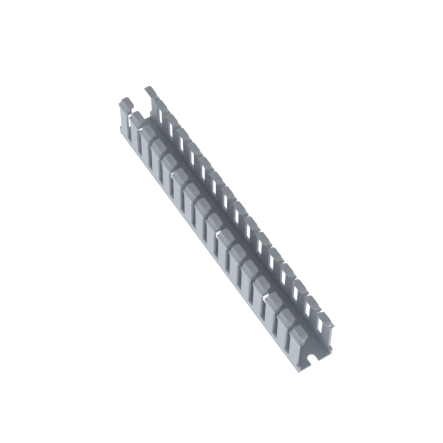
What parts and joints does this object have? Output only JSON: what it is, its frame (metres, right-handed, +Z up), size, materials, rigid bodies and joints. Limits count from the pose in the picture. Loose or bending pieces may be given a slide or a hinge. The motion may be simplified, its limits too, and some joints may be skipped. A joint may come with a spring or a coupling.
{
  "type": "slotted wire duct",
  "caption": "Straight slotted wire duct base: open channel with a flat perforated floor and side walls cut into fingers whose inward heads take a clip-on cover.",
  "frame": {"origin": "centre of the mounting face, on the panel plane", "axes": "+X along the duct, +Y across it to one side wall, +Z up from the mounting face to the open side"},
  "size_m": [0.2, 0.0236, 0.0362],
  "materials": {
    "plastic": "light blue-grey extruded rigid plastic, matt, in one piece"
  },
  "bodies": {
    "root": {"wire_duct": "plastic"}
  },
  "joints": []
}
